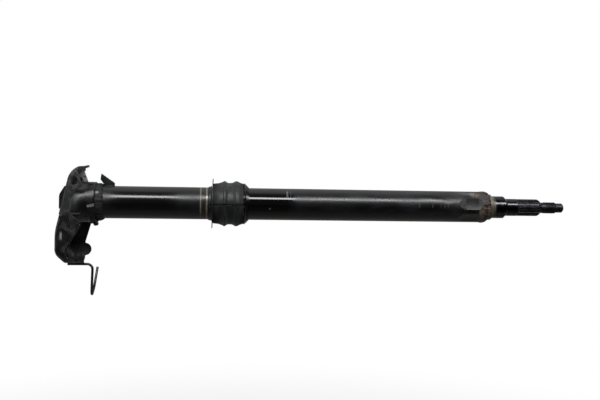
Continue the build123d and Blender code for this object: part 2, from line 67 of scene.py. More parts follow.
def linear(code):
    """Hex colour as the linear RGBA that a shader socket takes."""
    parts = [int(code[i:i + 2], 16) / 255 for i in (1, 3, 5)]
    return tuple(c / 12.92 if c <= 0.04045 else ((c + 0.055) / 1.055) ** 2.4 for c in parts) + (1.0,)


def add(tree, kind, inputs=None, stops=None, **settings):
    """Add one node with its settings, its inputs as values or links, and a ramp's stops."""
    node = tree.nodes.new(kind)
    for name, value in settings.items():
        setattr(node, name, value)
    for key, value in (inputs or {}).items():
        if isinstance(value, bpy.types.Node):
            value = next(out for out in value.outputs if out.enabled)
        if isinstance(value, bpy.types.NodeSocket):
            tree.links.new(value, node.inputs[key])
        else:
            node.inputs[key].default_value = value
    for index, (place, colour) in enumerate(stops or []):
        ramp = node.color_ramp.elements
        stop = ramp[index] if index < 2 else ramp.new(place)
        stop.position = place
        stop.color = colour if isinstance(colour, tuple) else (colour, colour, colour, 1.0)
    return node


def put(name, data):
    """Object for a mesh, a lamp or the camera, in the scene at the origin."""
    placed = bpy.data.objects.new(name, data)
    bpy.context.scene.collection.objects.link(placed)
    return placed


print("helpers ready; sRGB #808080 is", round(linear("#808080")[0], 3), "linear")

# %% [markdown]
# ## The camera
# The photograph was taken level with the shaft, a little from the bracket's side and with the picture
# turned by less than a degree. A camera object looks along its own -Z, so its matrix is written straight
# from three directions: right, up and back. Depth of field stays off, so that every part is sharp.

# %% Camera
eye = Vector((-0.01877, -0.85775, 0.00557))  # metres
forward = Vector((0.1201, 0.9928, 0.0)).normalized()
level = Vector((forward.y, -forward.x, 0.0))
roll = 0.0141  # radians
right = level * cos(roll) + Vector((0, 0, 1)) * sin(roll)
upward = Vector((0, 0, 1)) * cos(roll) - level * sin(roll)

lens = bpy.data.cameras.new("photo_camera")
lens.lens = 42.9
lens.sensor_width = 36.0
lens.clip_end = 50.0
camera = put("photo_camera", lens)
turn = Matrix((right, upward, -forward)).transposed().to_4x4()
camera.matrix_world = Matrix.Translation(eye) @ turn
bpy.context.scene.camera = camera
bpy.context.scene.view_settings.view_transform = "Standard"
print("camera", round(camera.matrix_world.translation.length, 3), "m from the bush")

# %% [markdown]
# ## The studio
# Black enamel shows its shape almost only through what it mirrors: a bright line from one long strip
# light above the front, a grey band along the top from the sweep behind it, and darkness where it faces
# the dim room. So the world is plain white for the camera, and for every other ray it is that room. An
# HDR picture could hold the room too, but a ramp over the angle round the shaft is smaller and says what
# it does. The room gets darker towards both ends of the shaft, which keeps the seals' cones dark.

# %% World
world = bpy.data.worlds.new("sweep_and_room")
bpy.context.scene.world = world
world.use_nodes = True
world.node_tree.nodes.clear()
sky = partial(add, world.node_tree)
axes = sky("ShaderNodeSeparateXYZ", {0: sky("ShaderNodeTexCoord").outputs["Generated"]})
toward = sky("ShaderNodeMath", {0: axes.outputs["Y"], 1: -1.0}, operation="MULTIPLY")
angle = sky("ShaderNodeMath", {0: axes.outputs["Z"], 1: toward}, operation="ARCTAN2")
turned = sky("ShaderNodeMapRange", {0: angle, 1: -pi, 2: pi, 3: 0.0, 4: 1.0})
# degrees round the shaft: 0 is the camera's side, 90 straight up, 180 behind
room_light = [
    (-180, 0.25), (-140, 0.18), (-90, 0.15), (-60, 0.08), (-25, 0.03), (25, 0.03), (60, 0.06),
    (79, 0.14), (85, 0.50), (96, 0.66), (135, 0.50), (180, 0.32),
]
room = sky("ShaderNodeValToRGB", {0: turned}, stops=[((d + 180) / 360, v) for d, v in room_light])
rays = sky("ShaderNodeLightPath")
mirror = sky("ShaderNodeMath", {0: rays.outputs["Is Glossy Ray"], 1: rays.outputs["Is Transmission Ray"]},
             operation="MAXIMUM")
level_of = sky("ShaderNodeMapRange", {0: mirror, 3: 0.95, 4: 1.0})
to_end = sky("ShaderNodeMath", {0: axes.outputs["X"]}, operation="ABSOLUTE")
end_shade = sky("ShaderNodeMapRange", {0: to_end, 1: 0.72, 2: 0.97, 3: 1.0, 4: 0.25},
                interpolation_type="SMOOTHSTEP")
level_of = sky("ShaderNodeMath", {0: level_of, 1: end_shade}, operation="MULTIPLY")
dim_room = sky("ShaderNodeBackground", {"Color": room, "Strength": level_of})
white = sky("ShaderNodeBackground", {"Color": (1, 1, 1, 1), "Strength": 1.0})
shown = sky("ShaderNodeMixShader", {0: rays.outputs["Is Camera Ray"], 1: dim_room, 2: white})
sky("ShaderNodeOutputWorld", {"Surface": shown})
print("world with", len(world.node_tree.nodes), "nodes")

# %% [markdown]
# The floor is a pale sheet well below the shaft. For the camera it is mostly plain white, with enough of
# the matt sheet mixed in near the shaft to keep its soft shadow, and further out it is all white, so no
# horizon shows. Light that reaches the object by way of the floor sees a greyer sheet, darker towards
# the camera, as in a room where only the paper under and behind the shaft is white.

# %% Floor
floor_x, floor_z = 0.1, -0.5
reach = 6.0
floor_mesh = bpy.data.meshes.new("floor")
corners = [(-reach, -reach), (reach, -reach), (reach, reach), (-reach, reach)]
floor_mesh.from_pydata([(x + floor_x, y, floor_z) for x, y in corners], [], [(0, 1, 2, 3)])
sheet_under = put("floor", floor_mesh)

paper = bpy.data.materials.new("matt_white_paper_sweep")
paper.use_nodes = True
paper.node_tree.nodes.clear()
page = partial(add, paper.node_tree)
place = page("ShaderNodeTexCoord").outputs["Object"]
distance = page("ShaderNodeVectorMath", {0: place}, operation="LENGTH")
near = page("ShaderNodeMapRange", {0: distance, 1: 0.7, 2: 1.5, 3: 0.30, 4: 0.0},
            interpolation_type="SMOOTHSTEP")
matt = page("ShaderNodeBsdfDiffuse", {"Color": linear("#E6E6E4")})
across = page("ShaderNodeSeparateXYZ", {0: place}).outputs["Y"]
back_and_front = page("ShaderNodeMapRange", {0: across, 1: -1.2, 2: 0.8})
grey = page("ShaderNodeValToRGB", {0: back_and_front}, stops=[
    (0.0, linear("#242423")), (0.35, linear("#333332")), (0.60, linear("#7A7A78")), (1.0, linear("#B4B4B2"))])
bounce = page("ShaderNodeBsdfDiffuse", {"Color": grey})
glow = page("ShaderNodeEmission", {"Color": (1, 1, 1, 1), "Strength": 1.0})
seen = page("ShaderNodeMixShader", {0: near, 1: glow, 2: matt})
rays = page("ShaderNodeLightPath")
final = page("ShaderNodeMixShader", {0: rays.outputs["Is Camera Ray"], 1: bounce, 2: seen})
page("ShaderNodeOutputMaterial", {"Surface": final})
floor_mesh.materials.append(paper)
print("floor", 2 * reach, "m wide")

# %% [markdown]
# One long strip light hangs above the front, about 43 degrees up. It is long and narrow on purpose: on a
# round bar it makes the single bright line that runs from the bracket to the spline.

# %% Strip light
strip_radiance = 11.0
strip_x, strip_distance, rise = 0.08, 1.2, radians(43)
lamp = bpy.data.lights.new("strip_light", "AREA")
lamp.shape = "RECTANGLE"
lamp.size = 2.6
lamp.size_y = 0.26
lamp.energy = strip_radiance * pi * lamp.size * lamp.size_y
strip = put("strip_light", lamp)
strip.location = (strip_x, -strip_distance * cos(rise), strip_distance * sin(rise))
toward_shaft = Vector((strip_x, 0, 0)) - Vector(strip.location)
strip.rotation_euler = toward_shaft.to_track_quat("-Z", "Y").to_euler()
print("strip light at", [round(v, 2) for v in strip.location], "with", round(lamp.energy, 1), "W")

# %% [markdown]
# ## Patterns that the finishes share
# Wear on a shaft comes in few forms: patches of dust or dullness, bands round the tube where something
# sat or rubbed, single spots, and edges worn through. Each is a small group of nodes that gives a mask
# from 0 to 1, and a coat lays a colour over another where its masks say so. All of them are sized in
# millimetres on Object coordinates. Generated coordinates would stretch a pattern to its own piece,
# Object coordinates keep one grain over the whole shaft.

# %% Patterns for finishes
class Finish:
    """A finish being mixed: its material, its tree and the place on the shaft."""

    def __init__(self, name):
        self.material = bpy.data.materials.new(name)
        self.material.use_nodes = True
        self.material.node_tree.nodes.clear()
        self.add = partial(add, self.material.node_tree)
        self.place = self.add("ShaderNodeTexCoord").outputs["Object"]
        self.x, self.y, self.z = self.add("ShaderNodeSeparateXYZ", {0: self.place}).outputs

    def patches(self, size_mm, low, high, detail=3.0, stretch=(1, 1, 1)):
        """Soft-edged patches about size_mm wide; more of them as low and high come down."""
        scaled = self.add("ShaderNodeMapping", {"Vector": self.place, "Scale": stretch})
        noise = self.add("ShaderNodeTexNoise", {"Vector": scaled, "Scale": 1 / (size_mm * MM), "Detail": detail})
        return self.add("ShaderNodeMapRange", {0: noise, 1: low, 2: high}, interpolation_type="SMOOTHSTEP")

    def along(self, stops, axis=None):
        """Value over a distance from (millimetres, value) stops. The ramp spans just these, to stay sharp."""
        start_mm, end_mm = stops[0][0], stops[-1][0]
        unit = self.add("ShaderNodeMapRange", {0: axis or self.x, 1: start_mm * MM, 2: end_mm * MM})
        placed = [((mm - start_mm) / (end_mm - start_mm), value) for mm, value in stops]
        return self.add("ShaderNodeValToRGB", {0: unit}, stops=placed)

    def spot(self, centre_mm, inner_mm, outer_mm):
        """1 within inner_mm of a point, 0 beyond outer_mm."""
        centre = tuple(v * MM for v in centre_mm)
        apart = self.add("ShaderNodeVectorMath", {0: self.place, 1: centre}, operation="DISTANCE")
        return self.add("ShaderNodeMapRange", {0: apart, 1: inner_mm * MM, 2: outer_mm * MM, 3: 1.0, 4: 0.0},
                        interpolation_type="SMOOTHSTEP")

    def edges(self, width_mm):
        """1 along the sharp outer edges of a solid, where paint wears through first."""
        rounded = self.add("ShaderNodeBevel", {"Radius": width_mm * MM}, samples=4)
        true = self.add("ShaderNodeNewGeometry").outputs["Normal"]
        turn = self.add("ShaderNodeVectorMath", {0: rounded, 1: true}, operation="DOT_PRODUCT")
        return self.add("ShaderNodeMapRange", {0: turn, 1: 0.80, 2: 0.97, 3: 1.0, 4: 0.0})

    def both(self, *masks):
        """Where every mask is: their product. A number among them sets how strong the result is."""
        result = masks[0]
        for mask in masks[1:]:
            result = self.add("ShaderNodeMath", {0: result, 1: mask}, operation="MULTIPLY")
        return result

    def coat(self, under, over, *masks):
        """Colour over another where all the masks are."""
        return self.add("ShaderNodeMix", {0: self.both(*masks), 6: under, 7: over}, data_type="RGBA")

    def surface(self, relief_mm=(), soft_edge_mm=0.0, **inputs):
        """Close the tree: a bump from (mask, height in mm) pairs, then Principled and the output."""
        height = None
        for mask, depth in relief_mm:
            part = self.both(mask, depth)
            height = part if height is None else self.add("ShaderNodeMath", {0: height, 1: part})
        sockets = {name.replace("_", " "): value for name, value in inputs.items()}
        if height is not None:
            bump = {"Height": height, "Distance": MM}
            if soft_edge_mm:
                bump["Normal"] = self.add("ShaderNodeBevel", {"Radius": soft_edge_mm * MM}, samples=4)
            sockets["Normal"] = self.add("ShaderNodeBump", bump)
        self.add("ShaderNodeOutputMaterial", {"Surface": self.add("ShaderNodeBsdfPrincipled", sockets)})
        print(self.material.name, "with", len(self.material.node_tree.nodes), "nodes")


print("patterns ready")

# %% [markdown]
# ## Black enamel on the tube
# The tube is drawn steel with sprayed and stoved black enamel. New enamel gives one hard bright line.
# On this used one the line is soft towards the bracket, dull near the bush, hard just below the bush
# where a seal kept it clean, and scuffed grey over the rest. The seal has rubbed two rings through the
# enamel, with brown grease between them. A ramp along the shaft sets where each of these begins.

# %% Tube enamel
enamel = Finish("stoved_black_enamel_on_drawn_steel")
scuff = enamel.along([
    (-152, 0.60), (-140, 0.45), (-124, 0.12), (-64, 0.12), (-58, 0.45), (-40, 0.55), (20, 0.0),
    (67, 0.0), (72, 0.40), (150, 0.60), (235, 0.75), (285, 0.85), (310, 1.0),
])
gloss = enamel.along([
    (-152, 0.38), (-142, 0.34), (-130, 0.21), (-120, 0.17), (-74, 0.18), (-58, 0.31), (-40, 0.34), (20, 0.08),
    (67, 0.09), (73, 0.13), (80, 0.28), (150, 0.29), (184, 0.24), (215, 0.31), (247, 0.27), (280, 0.36),
    (288, 0.25), (302, 0.25), (306, 0.55),
])
dulled = enamel.both(enamel.patches(11.0, 0.40, 0.72, detail=2.0, stretch=(0.35, 1, 1)), scuff, 0.12)
rough = enamel.add("ShaderNodeMath", {0: gloss, 1: dulled})
dusty = enamel.patches(7.0, 0.30, 0.70, detail=3.0, stretch=(0.3, 1.2, 1.2))
top_side = enamel.add("ShaderNodeMapRange", {0: enamel.z, 1: -6 * MM, 2: 6 * MM, 3: 0.60, 4: 1.0})
colour = enamel.coat(linear("#070708"), linear("#232428"), dusty, scuff, top_side)
haze = enamel.along([(262, 0.0), (284, 0.25), (303, 0.20), (308, 1.0)])
colour = enamel.coat(colour, linear("#34332F"), haze, enamel.patches(9.0, 0.35, 0.65))

# %% [markdown]
# The rubbed rings, the chip and the clamp's marks are bare or thin spots in the same enamel, so they are
# coats over it and not pieces of their own. A clamp left five short strokes round the tube and two broad
# dents, which bend the bright line a little. The jaws that crimped the tube left each flat hollow, and a
# bump that follows the distance from the axis shows that. Beside the weld the enamel is burnt brown.

# %% Wear on the tube
speckle = enamel.patches(2.2, 0.30, 0.60, detail=4.0)
grease = enamel.along([(-36, 0.0), (-34, 0.8), (-27, 0.9), (-25.5, 0.0)])
colour = enamel.coat(colour, linear("#2A241C"), grease)
old_ring = enamel.along([(-34.5, 0.0), (-34.1, 0.9), (-33.2, 0.9), (-32.8, 0.0)])
colour = enamel.coat(colour, linear("#77726A"), old_ring)
bare_ring = enamel.both(enamel.along([(-27.7, 0.0), (-27.4, 1.0), (-25.9, 1.0), (-25.5, 0.0)]),
                        enamel.add("ShaderNodeMapRange", {0: speckle, 3: 0.7, 4: 1.0}))
colour = enamel.coat(colour, linear("#8F8A80"), bare_ring)
upper_front = enamel.along([(6.5, 0.0), (8.5, 1.0), (15, 1.0), (17, 0.0)], enamel.z)
ring_mark = enamel.along([
    (66.6, 0.0), (67.4, 1.0), (68.6, 1.0), (69.4, 0.0), (71.4, 0.0), (72.0, 0.5), (72.6, 0.0)])
colour = enamel.coat(colour, linear("#5C5C5E"), ring_mark, upper_front, enamel.patches(6.0, 0.30, 0.50))
colour = enamel.coat(colour, linear("#4A4642"), enamel.spot((47.3, -18.2, -5.4), 0.7, 1.6))
stroke_places = (228.0, 244.7, 254.7, 259.7, 263.5)
one_stroke = ((-0.9, 0.0), (-0.3, 1.0), (0.3, 1.0), (0.9, 0.0))
strokes = enamel.along([(x + d, v) for x in stroke_places for d, v in one_stroke])
strokes = enamel.both(strokes, enamel.along([(-2.5, 0.0), (-0.5, 1.0), (2.5, 1.0), (5.0, 0.0)], enamel.z))
colour = enamel.coat(colour, linear("#7A7B7E"), strokes, enamel.patches(3.0, 0.30, 0.60), 0.35)
dents = [(enamel.spot((238.0, -18.6, 4.0), 1.0, 13.0), -0.45),
         (enamel.spot((265.0, -16.0, 10.2), 1.0, 9.0), -0.40)]
lower_side = enamel.along([(0, 1.0), (4, 0.0)], enamel.z)
burnt_there = enamel.add("ShaderNodeMapRange", {0: lower_side, 3: 0.05, 4: 1.0})
burnt = enamel.both(enamel.along([(302.5, 0.0), (305.0, 1.0)]), enamel.patches(5.0, 0.30, 0.55))
colour = enamel.coat(colour, linear("#64584F"), burnt, burnt_there)
stain = enamel.both(enamel.spot((299.5, -10.0, 16.0), 2.5, 9.0), enamel.patches(4.0, 0.28, 0.55))
colour = enamel.coat(colour, linear("#8C7C6C"), stain, 0.8)
# Painted shade: the crimped flats are painted darker.
painted_flat_shade = enamel.both(enamel.along([(286, 0.0), (290, 1.0), (308, 1.0), (311, 0.0)]),
                      enamel.along([(-6.0, 0.0), (-3.0, 1.0), (9.0, 1.0), (12.0, 0.0)], enamel.z))
colour = enamel.coat(colour, linear("#09090A"), painted_flat_shade, 0.65)
rust = enamel.spot((302.4, -8.4, 16.6), 2.0, 3.6)
colour = enamel.coat(colour, linear("#521F04"), rust)
rough = enamel.add("ShaderNodeMath", {0: rough, 1: enamel.both(rust, 0.3)})
from_axis = enamel.add("ShaderNodeVectorMath", {0: enamel.place, 1: (0, 1, 1)}, operation="MULTIPLY")
from_axis = enamel.add("ShaderNodeVectorMath", {0: from_axis}, operation="LENGTH")
hollow = enamel.both(enamel.add("ShaderNodeMapRange", {0: from_axis, 1: 17.7 * MM, 2: 19 * MM, 3: 1.0, 4: 0.0}),
                     enamel.along([(286, 0.0), (289, 1.0), (303, 1.0), (306, 0.0)]))
enamel.surface(
    relief_mm=[(enamel.both(dusty, scuff), 0.02), (strokes, -0.03), (speckle, 0.002), (hollow, -0.36)] + dents,
    Base_Color=colour, Roughness=rough, Metallic=enamel.both(bare_ring, 0.45), IOR=1.6,
)

# %% [markdown]
# ## Paint on the pressings
# The stampings, the socket and the small welded parts carry the same black enamel, but pressed sheet is
# never flat: it ripples where it was drawn over the die, so the light breaks up into soft streaks. Dust
# lies on it in patches, the edges are worn to grey steel and one lower corner is darker. Painted shade
# darkens the pocket behind the cup and a band at the socket's mouth. Painted light lifts the inside of
# the lower far wall, most towards its top, and makes a light, dull patch high inside the upper far wall;
# a lighter spot on the cup is painted sheen and a light streak down the lower bend a painted highlight.
# The head's enamel is a lighter copy, and the tab's a darker copy, which is painted shade. Near the head
# the cup is a little twisted, so its bright line slants. The Bevel node finds the edges and also rounds
# them for the eye.

# %% Pressed steel paint
def pressed_paint(name, deep, dusty, dust_share, rough_low, rough_high, ripple_mm, slant=0.0):
    """Black enamel over rippled sheet, from its two colours, its gloss, its ripples and how it slants."""
    paint = Finish(name)
    ripples = paint.patches(11.0, 0.25, 0.75, detail=1.5, stretch=(1.2, 1.2, 0.45))
    orange_peel = paint.patches(4.5, 0.25, 0.75, detail=1.0)
    dust = paint.patches(9.0, 0.44, 0.74, detail=3.0)
    worn = paint.both(paint.edges(0.6), paint.patches(7.0, 0.42, 0.60))
    colour = paint.coat(linear(deep), linear(dusty), dust, dust_share)
    # Painted light: the colour inside the lower stamping's far wall is lifted, more towards its top and most in
    # one spot.
    inside = paint.both(paint.along([(19.0, 0.0), (22.5, 1.0), (26.3, 1.0), (26.5, 0.0)], paint.y),
                        paint.along([(-68.0, 0.0), (-62.0, 1.0), (-18.0, 1.0), (-15.0, 0.0)], paint.z))
    colour = paint.coat(colour, linear("#262626"), inside)
    colour = paint.coat(colour, linear("#B2B2B0"), inside, paint.spot((-170.0, 26.0, -21.0), 4.0, 15.0))
    colour = paint.coat(colour, linear("#5A5A5A"), inside, paint.along([(-49.0, 0.0), (-41.0, 1.0)], paint.z))
    # Painted sheen: a lighter spot on the cup's upper near side, below the head.
    painted_sheen_spot = paint.spot((-171.0, -15.0, 19.0), 4.0, 12.0)
    colour = paint.coat(colour, linear("#505051"), painted_sheen_spot, 0.9)
    # Painted light: a light speckled patch high inside the upper far wall, where the paint is also dull.
    painted_light_patch = paint.both(paint.spot((-171.0, 25.5, 31.5), 8.5, 13.0), paint.patches(3.0, 0.22, 0.56, detail=4.0))
    colour = paint.coat(colour, linear("#B4B4B2"), painted_light_patch)
    # Painted shade: a near-black band round the socket's mouth.
    painted_mouth_shade = paint.along([(-156.0, 0.0), (-155.0, 0.9), (-152.5, 0.9), (-151.5, 0.0)])
    colour = paint.coat(colour, linear("#040404"), painted_mouth_shade)
    # Painted shade: the pocket behind the cup and the rim beside it are painted near black, and dull.
    within = paint.along([(-25.6, 0.0), (-24.5, 1.0), (20.0, 1.0), (24.0, 0.0)], paint.y)
    pocket = paint.both(paint.along([(-189.0, 1.0), (-178.5, 1.0), (-176.0, 0.0)]), within)
    rim = paint.along([(-179.6, 0.0), (-178.4, 1.0), (-175.4, 1.0), (-174.0, 0.0)])
    painted_pocket_shade = paint.both(paint.add("ShaderNodeMath", {0: pocket, 1: rim}, operation="MAXIMUM"),
                         paint.along([(18.8, 0.0), (20.6, 1.0), (28.0, 1.0), (31.0, 0.0)], paint.z))
    colour = paint.coat(colour, linear("#020202"), painted_pocket_shade)
    # A darker spot low on the near wall beside the cup.
    darker_corner = paint.spot((-176.0, -27.0, -17.5), 5.0, 12.0)
    colour = paint.coat(colour, linear("#0C0C0D"), darker_corner, 0.8)
    # Painted highlight: a light streak down the bend of the lower stamping.
    painted_bend_highlight = paint.both(paint.along([(-190.4, 0.0), (-189.2, 1.0), (-188.2, 1.0), (-187.0, 0.0)]),
                        paint.along([(-44.0, 0.0), (-40.5, 1.0), (-37.0, 1.0), (-33.0, 0.0)], paint.z))
    colour = paint.coat(colour, linear("#9A9A9A"), painted_bend_highlight, 0.85)
    colour = paint.coat(colour, linear("#6A6966"), worn, 0.7)
    rough = paint.add("ShaderNodeMapRange", {0: paint.patches(16.0, 0.3, 0.7), 3: rough_low, 4: rough_high})
    dull = paint.add("ShaderNodeMath", {0: painted_light_patch, 1: inside}, operation="MAXIMUM")
    dull = paint.add("ShaderNodeMath", {0: dull, 1: painted_pocket_shade}, operation="MAXIMUM")
    rough = paint.add("ShaderNodeMath", {0: rough, 1: paint.both(dull, 0.35)})
    relief = [(ripples, ripple_mm), (orange_peel, 0.03), (dust, 0.015)]
    if slant:
        at_wall = paint.along([(-179.0, 1.0), (-175.0, 0.7), (-168.5, 0.0)])
        rough = paint.add("ShaderNodeMath", {0: rough, 1: paint.both(at_wall, 0.32)})
        height_mm = paint.both(paint.z, slant / MM)
        leaning = paint.along([(-174.0, 1.0), (-165.0, 0.35), (-156.0, 0.0)])
        relief += [(height_mm, 0.38), (paint.both(leaning, height_mm), -1.0)]
    paint.surface(
        relief_mm=relief, soft_edge_mm=0.9,
        Base_Color=colour, Roughness=rough, Metallic=paint.both(worn, 0.4), IOR=1.55,
    )
    return paint


pressing = pressed_paint("black_enamel_on_pressed_sheet", "#131314", "#3C3C3D", 0.9, 0.22, 0.38, 1.1)
# The head's enamel is a lighter copy of the same paint.
head_paint = pressed_paint("lighter_black_enamel_on_pressed_sheet", "#2A2B2B", "#565758", 0.9, 0.34, 0.48, 0.6)
cup_paint = pressed_paint("black_enamel_on_drawn_cup", "#0E0E0F", "#28282A", 0.6, 0.27, 0.36, 0.35, slant=0.26)
saddle_paint = pressed_paint("black_enamel_on_bent_strap", "#0A0A0B", "#202021", 0.6, 0.44, 0.52, 0.20)
rod_paint = pressed_paint("black_enamel_on_drawn_wire", "#101011", "#2C2C2D", 0.8, 0.30, 0.42, 0.08)
# Painted shade: the tab's enamel is a much darker copy of the same paint.
shaded_tab_paint = pressed_paint("shaded_blue_black_enamel_on_cut_tab", "#020506", "#080D0E", 0.5, 0.38, 0.50, 0.06)

# %% [markdown]
# ## Weld metal
# A weld is a row of frozen ripples. At the bracket it was painted over, so only its shape shows, apart
# from one glint painted on as a lighter spot. At the stub it was made after the tube was painted, and it
# has browned: bare mild steel rusts in a matt, speckled way, and the enamel beside it is burnt.

# %% Weld finishes
bead_paint = Finish("black_enamel_over_weld_metal")
spatter = bead_paint.patches(2.4, 0.35, 0.65)
soot = bead_paint.patches(6.0, 0.45, 0.70)
colour = bead_paint.coat(linear("#0A0A0B"), linear("#252424"), soot)
rough = bead_paint.add("ShaderNodeMapRange", {0: soot, 3: 0.36, 4: 0.52})
# Painted glint: one smoother, lighter spot on the socket weld.
painted_glint_spot = bead_paint.spot((-151.2, -19.2, 11.2), 1.2, 2.8)
rough = bead_paint.add("ShaderNodeMapRange", {0: painted_glint_spot, 3: 0.66, 4: rough})
colour = bead_paint.coat(colour, linear("#5A5957"), painted_glint_spot)
bead_paint.surface(relief_mm=[(spatter, 0.06)], Base_Color=colour, Roughness=rough, IOR=1.5)

rust_bead = Finish("bare_weld_metal_with_rust")
blotch = rust_bead.patches(4.5, 0.38, 0.62, detail=4.0)
freckle = rust_bead.patches(1.6, 0.50, 0.66)
colour = rust_bead.coat(linear("#2D2926"), linear("#5C4F46"), blotch)
colour = rust_bead.coat(colour, linear("#5E3D28"), freckle, 0.8)
colour = rust_bead.coat(colour, linear("#1C1A19"), rust_bead.patches(7.0, 0.55, 0.70))
sooty = rust_bead.along([(-1.0, 0.0), (3.0, 1.0), (13.0, 1.0), (16.0, 0.3)], rust_bead.z)
colour = rust_bead.coat(colour, linear("#1C1A19"), sooty, 0.6)
rough = rust_bead.add("ShaderNodeMapRange", {0: blotch, 3: 0.45, 4: 0.66})
rust_bead.surface(relief_mm=[(freckle, 0.08)], Base_Color=colour, Roughness=rough, Metallic=0.1)

# %% [markdown]
# ## Oiled black steel on the stub
# The stub is turned, its teeth are cut by a hob, and it is then blackened and oiled. It is a metal, so
# it is dark because its mirror colour is dark, and it keeps the default IOR. Fine rings from turning run
# round it, and the corners of the teeth are rubbed bright, lighter still as painted highlight lines. The
# collar beside the weld kept a band of dried beige grease, painted lighter towards its top as light, and
# rust starts next to it.

# %% Blackened steel
oiled = Finish("turned_blackened_oiled_steel")
film = oiled.patches(7.0, 0.35, 0.70)
rings = oiled.patches(0.7, 0.30, 0.70, detail=1.0, stretch=(1.0, 0.02, 0.02))
colour = oiled.coat(linear("#343437"), linear("#4C4C4F"), film)
# Painted light: the grease band is made lighter towards the top.
painted_top_light = oiled.add("ShaderNodeMapRange", {0: oiled.z, 1: 2 * MM, 2: 9 * MM, 3: 0.7})
dried = oiled.both(oiled.along([(317.5, 0.0), (318.5, 1.0), (325.5, 1.0), (328.0, 0.0)]),
                   oiled.patches(4.0, 0.22, 0.46), painted_top_light)
rusty = oiled.both(oiled.along([(314, 1.0), (317, 0.9), (319, 0.0)]), oiled.patches(3.0, 0.35, 0.60))
grimy = oiled.add("ShaderNodeMath", {0: dried, 1: rusty}, operation="MAXIMUM")
colour = oiled.coat(colour, linear("#6E695B"), dried)
colour = oiled.coat(colour, linear("#5A4636"), rusty)
# The rubbed corners of the teeth are lighter: wear, and also painted highlight lines along the teeth.
worn = oiled.both(oiled.edges(0.35), oiled.along([(352.0, 0.0), (357.0, 1.0)]))
colour = oiled.coat(colour, linear("#7C7C7E"), worn, 0.6)
metallic = oiled.add("ShaderNodeMath", {0: 1.0, 1: grimy}, operation="SUBTRACT")
rough = oiled.add("ShaderNodeMapRange", {0: film, 3: 0.15, 4: 0.22})
on_teeth = oiled.along([(354.0, 0.0), (357.5, 0.25), (388.0, 0.25), (391.0, 0.26)])
rough = oiled.add("ShaderNodeMath", {0: rough, 1: on_teeth})
rough = oiled.add("ShaderNodeMath", {0: rough, 1: oiled.both(grimy, 0.3)})
oiled.surface(relief_mm=[(rings, 0.0015), (film, 0.004)], Base_Color=colour, Metallic=metallic, Roughness=rough)

# %% [markdown]
# ## Rubber, plastic and spring wire
# The bush is moulded black rubber, matt and dusty, so the strip light makes only a broad grey glow on
# it. Its upper half is the dustier one, its ends are darker, and the joint between the halves is dark.
# The seals are smoother nitrile rubber. The thin washer is dark grey polythene, cut from sheet.

# %% Bush rubber
bush_rubber = Finish("moulded_rubber_with_dust")
powder = bush_rubber.patches(5.0, 0.40, 0.74, detail=4.0)
streaks = bush_rubber.patches(9.0, 0.35, 0.70, detail=2.0, stretch=(1.6, 1, 0.35))
upper_side = bush_rubber.add("ShaderNodeMapRange", {0: bush_rubber.z, 1: -2.5 * MM, 2: 1.0 * MM})
colour = bush_rubber.coat(linear("#181B1A"), linear("#1C1C1E"), upper_side)
colour = bush_rubber.coat(colour, linear("#38383C"), powder, upper_side, 0.7)
colour = bush_rubber.coat(colour, linear("#2A2D2B"), streaks, 0.6)
ends = bush_rubber.along([(-19.5, 1.0), (-15.5, 0.9), (-9.5, 0.0), (9.5, 0.0), (13.5, 0.9)])
colour = bush_rubber.coat(colour, linear("#0C0D0D"), ends, 0.75)
joint = bush_rubber.along([(-3.1, 0.0), (-2.5, 1.0), (0.3, 1.0), (0.9, 0.0)], bush_rubber.z)
colour = bush_rubber.coat(colour, linear("#030303"), joint)
rough = bush_rubber.add("ShaderNodeMapRange", {0: streaks, 3: 0.38, 4: 0.52})
ends_and_joint = bush_rubber.add("ShaderNodeMath", {0: ends, 1: joint}, operation="MAXIMUM")
rough = bush_rubber.add("ShaderNodeMath", {0: rough, 1: bush_rubber.both(ends_and_joint, 0.28)})
bush_rubber.surface(relief_mm=[(powder, 0.05), (streaks, 0.12)], soft_edge_mm=0.8,
                    Base_Color=colour, Roughness=rough, IOR=1.5)

# %% [markdown]
# A seal leaves its mould with a smooth skin, so it is glossier than the dusty bush, and grease keeps the
# lower one dark. A bump that rises along the lip only turns its reflections towards the bush and leaves
# the outline alone. The polythene is cloudy and even, and the spring wire is drawn steel, a little dull.

# %% Seals, washer and spring wire
seal_rubber = Finish("moulded_nitrile_rubber")
skin = seal_rubber.patches(2.6, 0.40, 0.66)
greasy = seal_rubber.along([(0.0, 0.0), (12.0, 1.0)])
colour = seal_rubber.coat(linear("#0A0A0B"), linear("#2C2C2D"), skin)
colour = seal_rubber.coat(colour, linear("#040405"), greasy, 0.85)
rough = seal_rubber.add("ShaderNodeMapRange", {0: skin, 3: 0.34, 4: 0.48})
rough = seal_rubber.add("ShaderNodeMath", {0: rough, 1: seal_rubber.both(greasy, -0.20)})
lip = seal_rubber.along([(19.0, 0.0), (23.0, 1.0)])
seal_rubber.surface(relief_mm=[(skin, 0.04), (lip, 4.4)], Base_Color=colour, Roughness=rough, IOR=1.5)

cloudy = Finish("cut_dark_grey_polythene_sheet")
smear = cloudy.patches(8.0, 0.35, 0.70)
colour = cloudy.coat(linear("#101112"), linear("#1C1D1F"), smear)
rough = cloudy.add("ShaderNodeMapRange", {0: smear, 3: 0.40, 4: 0.55})
cloudy.surface(relief_mm=[(smear, 0.03)], Base_Color=colour, Roughness=rough, IOR=1.5)

spring_wire = Finish("drawn_spring_wire")
drawn = spring_wire.patches(1.5, 0.35, 0.70)
colour = spring_wire.coat(linear("#38383A"), linear("#6A6A6C"), drawn)
rough = spring_wire.add("ShaderNodeMapRange", {0: drawn, 3: 0.28, 4: 0.42})
spring_wire.surface(relief_mm=[(drawn, 0.005)], Base_Color=colour, Metallic=1.0, Roughness=rough)

